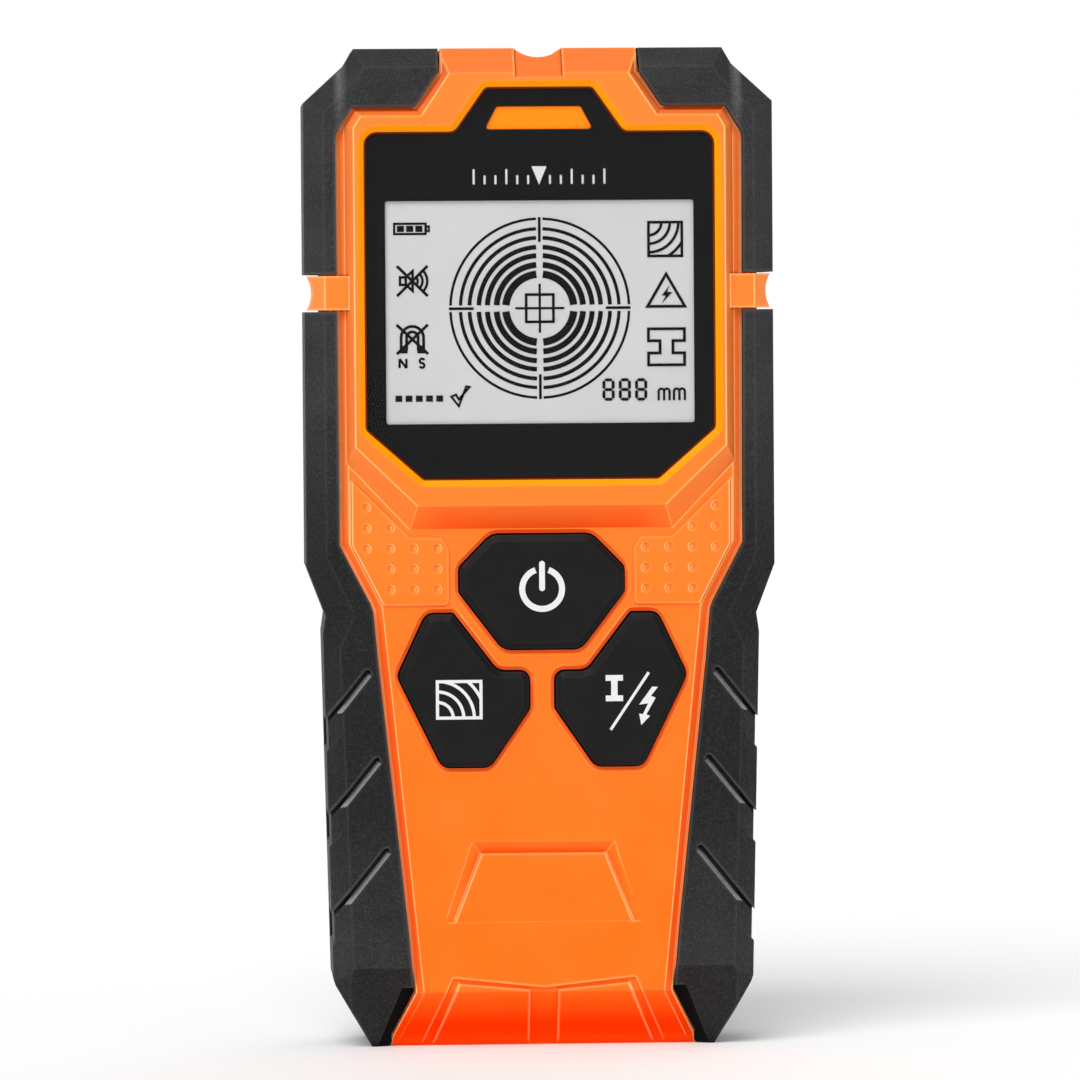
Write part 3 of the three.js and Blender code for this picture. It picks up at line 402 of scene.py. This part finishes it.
def clear_lens():
    """A thin coated pane: it passes light straight through and mirrors a little of the room."""
    s = Shader("clear_lens")
    s.nodes.remove(s.bsdf)
    clear = s.node("ShaderNodeBsdfTransparent", {"Color": (0.97, 0.975, 0.975, 1)})
    mirror = s.node("ShaderNodeBsdfGlossy", {"Roughness": 0.03})
    slant = s.node("ShaderNodeLayerWeight").outputs["Facing"]
    share = s.math("ADD", s.times(s.math("POWER", slant, 4), 0.35), 0.004)
    both = s.node("ShaderNodeMixShader", {0: share, 1: clear.outputs[0], 2: mirror.outputs[0]})
    s.links.new(both.outputs[0], s.nodes["Material Output"].inputs["Surface"])
    return s


MATERIALS = {
    "display_window": clear_lens(),
    "window_mask": MASK,
    "indicator_lens": AMBER,
    "indicator_led": WHITE_PLASTIC,
    "lcd_glass": DISPLAY,
    "light_guide": WHITE_PLASTIC,
    "display_frame": WHITE_PLASTIC,
    "lcd_connector": BLACK_PLASTIC,
    "power_contact": BLACK_PLASTIC,
    "wood_contact": BLACK_PLASTIC,
    "metal_contact": BLACK_PLASTIC,
    "key_spacer": BLACK_PLASTIC,
    "main_board": circuit_board("main_board"),
    "sensor_board": circuit_board("sensor_board"),
    "microcontroller": BLACK_PLASTIC,
    "buzzer": BLACK_PLASTIC,
    "coil_bobbin": WHITE_PLASTIC,
    "search_coil": COPPER,
    "battery": battery_jacket(),
    "battery_positive": NICKEL,
    "battery_negative": NICKEL,
    "terminal_plate": BLACK_PLASTIC,
    "battery_pad": FELT,
    "wire_red": RED_WIRE,
    "wire_black": BLACK_PLASTIC,
    "rear_label": LABEL,
    "glide_pad_upper": FELT,
    "glide_pad_lower": FELT,
    **{f"case_screw_{i}": NICKEL for i in (1, 2, 3, 4)},
    "front_shell": ORANGE,
    "rear_shell": BLACK_ABS,
    "battery_door": BLACK_ABS,
    "bumper_right": RUBBER,
    "bumper_left": RUBBER,
    "grip_right": RUBBER,
    "grip_left": RUBBER,
    "power_button": KEY,
    "wood_button": KEY,
    "metal_button": KEY,
}


def dress(node, shader):
    slots = NODES[node].data.materials
    slots.clear()
    slots.append(shader.material)


SAME_PLACE = 0.002 * MM
SAME_PLANE = math.radians(0.6)


def soften(node, width_mm, segments, angle):
    """Rounds a CAD node's edges: its own triangles are merged to flat faces, and the edges bevelled."""
    obj = NODES[node]
    for polygon in obj.data.polygons:
        polygon.use_smooth = True
    weld = obj.modifiers.new("weld", "WELD")
    weld.merge_threshold = SAME_PLACE
    flat = obj.modifiers.new("flat", "DECIMATE")
    flat.decimate_type = "DISSOLVE"
    flat.angle_limit = SAME_PLANE
    bevel = obj.modifiers.new("bevel", "BEVEL")
    bevel.width = width_mm * MM
    bevel.segments = segments
    bevel.limit_method = "ANGLE"
    bevel.angle_limit = math.radians(angle)
    bevel.harden_normals = True
    bevel.use_clamp_overlap = True
    normals = obj.modifiers.new("normals", "WEIGHTED_NORMAL")
    normals.keep_sharp = True


# how edges are rounded: width in mm, segments, and the least angle in degrees
SHELL_EDGE = (0.2, 2, 22)
RUBBER_EDGE = (0.35, 3, 22)
KEY_EDGE = (0.25, 3, 18)
INSIDE_EDGE = (0.08, 2, 30)
EDGES = {ORANGE: SHELL_EDGE, BLACK_ABS: SHELL_EDGE, RUBBER: RUBBER_EDGE, KEY: KEY_EDGE}

for node, shader in MATERIALS.items():
    dress(node, shader)
    soften(node, *EDGES.get(shader, INSIDE_EDGE))

# ---------------------------------------------------------------- printed and displayed artwork
# Flat shapes in the (x, z) plane of the front, in millimetres, raised by a film's thickness.


class Artwork:
    """Thin printed shapes on a plane that faces the front, or the rear if outward is 1."""

    def __init__(self, name, y, body, shader, slot, thickness=0.02, outward=-1):
        self.name, self.y, self.body, self.outward = name, y, body, outward
        self.shader, self.slot, self.thickness = shader, slot, thickness
        self.mesh = bmesh.new()

    def next_layer(self):
        """Each shape lies a hair proud of the one before it, so that crossing shapes stay clean."""
        self.thickness += 0.001

    def fill(self, points, new_layer=True):
        if new_layer:
            self.next_layer()
        back = [self.mesh.verts.new((x * MM, self.y * MM, z * MM)) for x, z in points]
        front_y = (self.y + self.outward * self.thickness) * MM
        front = [self.mesh.verts.new((x * MM, front_y, z * MM)) for x, z in points]
        self.mesh.faces.new(back[::-1])
        self.mesh.faces.new(front)
        for i, a in enumerate(back):
            j = (i + 1) % len(back)
            self.mesh.faces.new((a, back[j], front[j], front[i]))

    def stroke(self, points, width, closed=False):
        """A line of even width with mitred corners."""
        count = len(points)
        half = width / 2
        sides = []
        for i, (x, z) in enumerate(points):
            before = points[i - 1] if closed or i else None
            after = points[(i + 1) % count] if closed or i < count - 1 else None
            normals = []
            for a, b in ((before, (x, z)), ((x, z), after)):
                if a is None or b is None:
                    continue
                run = Vector((b[0] - a[0], b[1] - a[1])).normalized()
                normals.append(Vector((-run.y, run.x)))
            offset = sum(normals, Vector((0, 0))).normalized()
            offset *= half / max(offset.dot(normals[0]), 0.35)
            sides.append(((x + offset.x, z + offset.y), (x - offset.x, z - offset.y)))
        self.next_layer()
        for i in range(count if closed else count - 1):
            (a, b), (c, d) = sides[i], sides[(i + 1) % count]
            self.fill([a, b, d, c], new_layer=False)

    def arc(self, cx, cz, radius, width, start, end):
        self.stroke(arc_points(cx, cz, radius, start, end), width)

    def disc(self, cx, cz, radius):
        sides = 24
        self.fill(arc_points(cx, cz, radius, 0, 360 - 360 / sides, sides - 1))

    def finish(self):
        bmesh.ops.recalc_face_normals(self.mesh, faces=self.mesh.faces)
        data = bpy.data.meshes.new(self.name)
        self.mesh.to_mesh(data)
        self.mesh.free()
        data.materials.append(self.shader.material)
        piece = bpy.data.objects.new(self.name, data)
        bpy.context.scene.collection.objects.link(piece)
        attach(piece, self.body)


def arc_points(cx, cz, radius, start, end, steps=None):
    """Points along an arc from one angle to another, in degrees, about 5 degrees apart unless steps says."""
    steps = steps or max(2, round(abs(end - start) / 5))
    angles = [math.radians(start + (end - start) * i / steps) for i in range(steps + 1)]
    return [(cx + radius * math.cos(a), cz + radius * math.sin(a)) for a in angles]


def rect(x0, z0, x1, z1):
    return [(x0, z0), (x1, z0), (x1, z1), (x0, z1)]


def growth_rings(art, x0, z0, x1, z1, corner, start, radii, width):
    """Year rings in a block, in the quarter turn that begins at the start angle round one corner."""
    art.stroke(rect(x0, z0, x1, z1), width, closed=True)
    for radius in radii:
        points = arc_points(*corner, radius, start, start + 90, 60)
        inside = [p for p in points if x0 <= p[0] <= x1 and z0 <= p[1] <= z1]
        art.stroke(inside, width)


def beam(art, x0, z0, x1, z1, flange, web, line=None):
    """An I-beam's section: solid, or outlined if a line width is given."""
    middle = (x0 + x1) / 2
    left, right = middle - web / 2, middle + web / 2
    low, high = z0 + flange, z1 - flange
    outline = [(x0, z0), (x1, z0), (x1, low), (right, low), (right, high), (x1, high)]
    outline += [(x1, z1), (x0, z1), (x0, high), (left, high), (left, low), (x0, low)]
    if line:
        art.stroke(outline, line, closed=True)
        return
    art.fill(rect(x0, z0, x1, low))
    art.fill(rect(left, low, right, high))
    art.fill(rect(x0, high, x1, z1))


def seven_segments(art, x0, z0, width, height, line):
    """The figure eight of a segment display: seven bars with pointed ends."""
    x1, middle, z1 = x0 + width, z0 + height / 2, z0 + height
    half, gap = line / 2, 0.06
    for z in (z0, middle, z1):
        left, right = x0 + gap, x1 - gap
        upper = [(left + half, z + half), (right - half, z + half)]
        lower = [(right - half, z - half), (left + half, z - half)]
        art.fill([(left, z), *upper, (right, z), *lower])
    for x in (x0, x1):
        for low, high in ((z0 + gap, middle - gap), (middle + gap, z1 - gap)):
            outer = [(x + half, low + half), (x + half, high - half)]
            inner = [(x - half, high - half), (x - half, low + half)]
            art.fill([(x, low), *outer, (x, high), *inner])


SIGNS_X = -18.75
TARGET_Z = 108.8


def draw_target(art):
    """Rings, heavier towards the middle and broken in four, round a small square with cross hairs."""
    rings = [(13.13, 0.39), (11.66, 0.5), (10.34, 0.58), (8.97, 0.69), (7.72, 0.76), (6.37, 0.88), (5, 1.1)]
    half_gap = 0.47
    for radius, width in rings:
        gap = math.degrees(math.asin(half_gap / radius))
        for start in (0, 90, 180, 270):
            art.arc(0, TARGET_Z, radius, width, start + gap, start + 90 - gap)
    for dx, dz in ((1, 0), (-1, 0), (0, 1), (0, -1)):
        art.stroke([(9.7 * dx, TARGET_Z + 9.7 * dz), (13.35 * dx, TARGET_Z + 13.35 * dz)], 0.4)
        art.stroke([(0, TARGET_Z), (3.6 * dx, TARGET_Z + 3.6 * dz)], 0.34)
    art.stroke(rect(-2, TARGET_Z - 2, 2, TARGET_Z + 2), 0.4, closed=True)


def draw_battery_level(art):
    art.stroke(rect(-21.3, 119.8, -16.7, 121.3), 0.34, closed=True)
    art.stroke(rect(-16.6, 120.2, -16.2, 120.9), 0.3, closed=True)
    for i in range(3):
        art.fill(rect(-20.9 + 1.35 * i, 120.1, -19.85 + 1.35 * i, 121))


def draw_muted_speaker(art):
    sx, sz = SIGNS_X, 112.9
    line = 0.38
    art.stroke(rect(sx - 1.75, sz - 0.55, sx - 0.9, sz + 0.55), line, closed=True)
    cone = [(sx - 0.9, sz - 0.55), (sx + 0.1, sz - 1.45), (sx + 0.1, sz + 1.45), (sx - 0.9, sz + 0.55)]
    art.stroke(cone, line)
    for radius in (0.75, 1.45, 2.15):
        art.arc(sx + 0.1, sz, radius, line, -48, 48)
    for side in (1, -1):
        art.stroke([(sx - 2.2, sz + 2.2 * side), (sx + 2.3, sz - 2.2 * side)], 0.42)


def draw_crossed_magnet(art):
    """A horseshoe magnet with solid pole shoes, crossed out, and the letters of its poles below."""
    sx, sz = SIGNS_X, 104.6
    line = 0.42
    for radius in (0.85, 1.65):
        bow = arc_points(sx, sz, radius, 0, 180)
        art.stroke([(sx + radius, sz - 1.8), *bow, (sx - radius, sz - 1.8)], line)
    for side in (-1, 1):
        shoe = sx + side * 1.25
        art.fill(rect(shoe - 0.55, sz - 2.3, shoe + 0.55, sz - 1.2))
        art.stroke([(sx - 2.3 * side, sz + 1.9), (sx + 2.3 * side, sz - 2.4)], line)
    low, high, left, right = 100.15, 101.5, sx - 1.9, sx - 0.9
    for stem in ([(left, low), (left, high)], [(right, low), (right, high)], [(left, high), (right, low)]):
        art.stroke(stem, 0.34)
    bend = arc_points(sx + 1.4, 101.18, 0.33, 20, 270) + arc_points(sx + 1.4, 100.52, 0.33, 90, -160)
    art.stroke(bend, 0.34)


def draw_ready_row(art):
    """A short row of blocks and a tick."""
    for i in range(5):
        art.fill(rect(-21.3 + 1.5 * i, 95.2, -20.3 + 1.5 * i, 96.1))
    tick = [(-13.1, 95.9), (-12.4, 96.2), (-12, 95.5), (-10.4, 97.3), (-10.9, 97.4), (-12, 94.5)]
    art.stroke(tick, 0.32, closed=True)


def draw_target_materials(art):
    """Wood, live wire and metal."""
    growth_rings(art, 16.05, 116.35, 20.95, 121.3, (16.05, 121.3), -90, (1.9, 3.15, 4.4, 5.7), 0.4)
    art.stroke([(15.85, 108.95), (21.35, 108.95), (18.6, 113.7)], 0.42, closed=True)
    bolt = [(19.15, 112.1), (17.95, 110.55), (18.55, 110.5), (17.95, 109.4), (19.5, 111), (18.75, 111.1)]
    art.fill(bolt)
    beam(art, 15.95, 100.35, 21.25, 105.65, 1.75, 1.9, 0.42)


def draw_depth(art):
    """Three figure eights and the unit of length."""
    for x in (9.35, 11.75, 14.15):
        seven_segments(art, x, 95.35, 1.35, 2.85, 0.44)
    for x in (17.4, 19.65):
        for leg in (0, 0.8, 1.6):
            art.stroke([(x + leg, 95.15), (x + leg, 96.5)], 0.34)
        for leg in (0.4, 1.2):
            art.arc(x + leg, 96.45, 0.4, 0.34, 0, 180)


def draw_display():
    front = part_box("lcd_glass")[0].y / MM
    art = Artwork("display_segments", front, "case", SEGMENT, "lens_mask")
    draw_target(art)
    draw_battery_level(art)
    draw_muted_speaker(art)
    draw_crossed_magnet(art)
    draw_ready_row(art)
    draw_target_materials(art)
    draw_depth(art)
    art.finish()


def draw_power_symbol(art):
    cx, cz, radius, line = 0, 67.6, 2.93, 0.85
    gap = math.degrees(math.asin(0.95 / radius))
    art.arc(cx, cz, radius, 0.88, 90 + gap, 450 - gap)
    bar_low, bar_high = 67.7, 71.3
    art.stroke([(cx, bar_low), (cx, bar_high)], line)
    for end in (bar_low, bar_high):
        art.disc(cx, end, line / 2)


def draw_key_symbols():
    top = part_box("power_button")[0].y / MM
    power = Artwork("power_symbol", top, "power_key", WHITE_INK, "label_film")
    draw_power_symbol(power)
    power.finish()
    wood = Artwork("wood_symbol", top, "wood_key", WHITE_INK, "label_film")
    growth_rings(wood, -15.5, 48.75, -9.1, 54.1, (-15.5, 48.75), 0, (2.3, 3.85, 5.4, 6.95), 0.46)
    wood.finish()
    metal = Artwork("metal_symbol", top, "metal_key", WHITE_INK, "label_film")
    beam(metal, 9.25, 51, 11.8, 54.85, 0.85, 0.95)
    metal.stroke([(9.95, 46.8), (15.6, 55.2)], 0.42)
    bolt = [(16.1, 53.1), (16.95, 53.05), (15.9, 51.75), (16.6, 51.45), (15.2, 49), (15.75, 48.8)]
    bolt += [(14.45, 47.45), (14.15, 49.15), (14.7, 49.05), (15.5, 50.65), (14.15, 50.45)]
    metal.fill(bolt)
    metal.finish()


def draw_centre_scale():
    """A plain centre mark with a tick scale, printed on the lens over the display."""
    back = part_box("window_mask")[0].y / MM
    art = Artwork("centre_scale", back, "case", WHITE_INK, "label_film", 0.01)
    pitch, foot = 1.6, 127
    for i in (-6, -5, -4, -3, -2, -1, 1, 2, 3, 4, 5, 6):
        height = 2.2 if i % 3 == 0 else 1.3
        art.stroke([(pitch * i, foot), (pitch * i, foot + height)], 0.3)
    art.fill([(0, 126.9), (1.1, 129.6), (-1.1, 129.6)])
    art.finish()


def draw_rear_label():
    """A plain frame, ruled lines and a polarity sign on the rear label."""
    low, high = (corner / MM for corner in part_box("rear_label"))
    art = Artwork("label_print", high.y, "case", LABEL_INK, "label_film", 0.01, outward=1)
    margin = 1.5
    border = rect(low.x + margin, low.z + margin, high.x - margin, high.z - margin)
    art.stroke(border, 0.3, closed=True)
    for i in range(1, 5):
        z = low.z + margin + i * 3.4
        art.stroke([(low.x + 3, z), (high.x - 3, z)], 0.22)
    middle = (low.x + high.x) / 2
    cell_z = high.z - 6
    art.stroke(rect(middle - 7, cell_z - 2.4, middle + 7, cell_z + 2.4), 0.35, closed=True)
    pole, arm = 3.6, 0.7
    for x in (middle - pole, middle + pole):
        art.stroke(arc_points(x, cell_z, 1.3, 0, 360, 24), 0.3)
        art.stroke([(x - arm, cell_z), (x + arm, cell_z)], 0.3)
    art.stroke([(middle + pole, cell_z - arm), (middle + pole, cell_z + arm)], 0.3)
    art.finish()


def draw_battery_print():
    """Stripes and the plus and minus signs on the battery's rear side."""
    low, high = (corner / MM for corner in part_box("battery"))
    art = Artwork("battery_print", high.y, "case", WHITE_INK, "battery_jacket", 0.01, outward=1)
    top, bottom = high.z - 8, low.z + 8
    for x in (high.x - 13.4, high.x - 15):
        art.stroke([(x, low.z + 2), (x, high.z - 2)], 0.4)
    for z in (top, bottom):
        art.stroke([(high.x - 8.5, z), (high.x - 4.5, z)], 0.8)
    art.stroke([(high.x - 6.5, top - 2), (high.x - 6.5, top + 2)], 0.8)
    art.finish()


draw_display()
draw_key_symbols()
draw_centre_scale()
draw_rear_label()
draw_battery_print()

# ---------------------------------------------------------------- stage, light and camera


def make_floor():
    half = 6
    corners = [(-half, -half, 0), (half, -half, 0), (half, half, 0), (-half, half, 0)]
    mesh = bpy.data.meshes.new("floor")
    mesh.from_pydata(corners, [], [(0, 1, 2, 3)])
    floor = bpy.data.objects.new("floor", mesh)
    bpy.context.scene.collection.objects.link(floor)
    pale = Shader(
        "pale_floor",
        Base_Color=(0.98, 0.98, 0.98, 1),
        Roughness=0.9,
        Emission_Color=(1, 1, 1, 1),
        Emission_Strength=0.03,
    )
    mesh.materials.append(pale.material)


def make_room():
    """A studio that is white near the horizon and grey overhead."""
    world = bpy.data.worlds.new("studio")
    bpy.context.scene.world = world
    world.use_nodes = True
    nodes, links = world.node_tree.nodes, world.node_tree.links
    coords = nodes.new("ShaderNodeTexCoord")
    split = nodes.new("ShaderNodeSeparateXYZ")
    ramp = nodes.new("ShaderNodeValToRGB")
    links.new(coords.outputs["Generated"], split.inputs[0])
    links.new(split.outputs["Z"], ramp.inputs[0])
    links.new(ramp.outputs[0], nodes["Background"].inputs["Color"])
    first, last = ramp.color_ramp.elements
    first.position, first.color = 0.1, (1, 1, 1, 1)
    last.position, last.color = 0.35, (0.4, 0.4, 0.4, 1)
    nodes["Background"].inputs["Strength"].default_value = 1.0


def sun_light(name, come_from, strength, softness_deg):
    data = bpy.data.lights.new(name, "SUN")
    data.energy = strength
    data.angle = math.radians(softness_deg)
    lamp = bpy.data.objects.new(name, data)
    bpy.context.scene.collection.objects.link(lamp)
    lamp.rotation_euler = Vector(come_from).to_track_quat("Z", "Y").to_euler()


VIEW_WIDTH = 160.38 * MM
DISTANCE = 1.1
TARGET = Vector((0.38 * MM, 0, 74.4 * MM))
AZIMUTH = math.radians(-2.9)
ELEVATION = math.radians(1.75)
ROLL = math.radians(-0.4)


def make_camera():
    data = bpy.data.cameras.new("camera")
    data.sensor_width = 36
    data.lens = data.sensor_width * DISTANCE / VIEW_WIDTH
    camera = bpy.data.objects.new("camera", data)
    bpy.context.scene.collection.objects.link(camera)
    bpy.context.scene.camera = camera
    level = math.cos(ELEVATION)
    back = Vector((math.sin(AZIMUTH) * level, -math.cos(AZIMUTH) * level, math.sin(ELEVATION)))
    camera.location = TARGET + back * DISTANCE
    camera.rotation_mode = "QUATERNION"
    aim = (-back).to_track_quat("-Z", "Y").to_matrix()
    camera.rotation_quaternion = (aim @ Matrix.Rotation(ROLL, 3, "Z")).to_quaternion()


make_floor()
make_room()
sun_light("key", (-0.35, -0.8, 1.0), 2.0, 40)
sun_light("back", (0.3, 1.0, 0.9), 0.5, 60)
make_camera()
bpy.context.scene.view_settings.view_transform = "Standard"
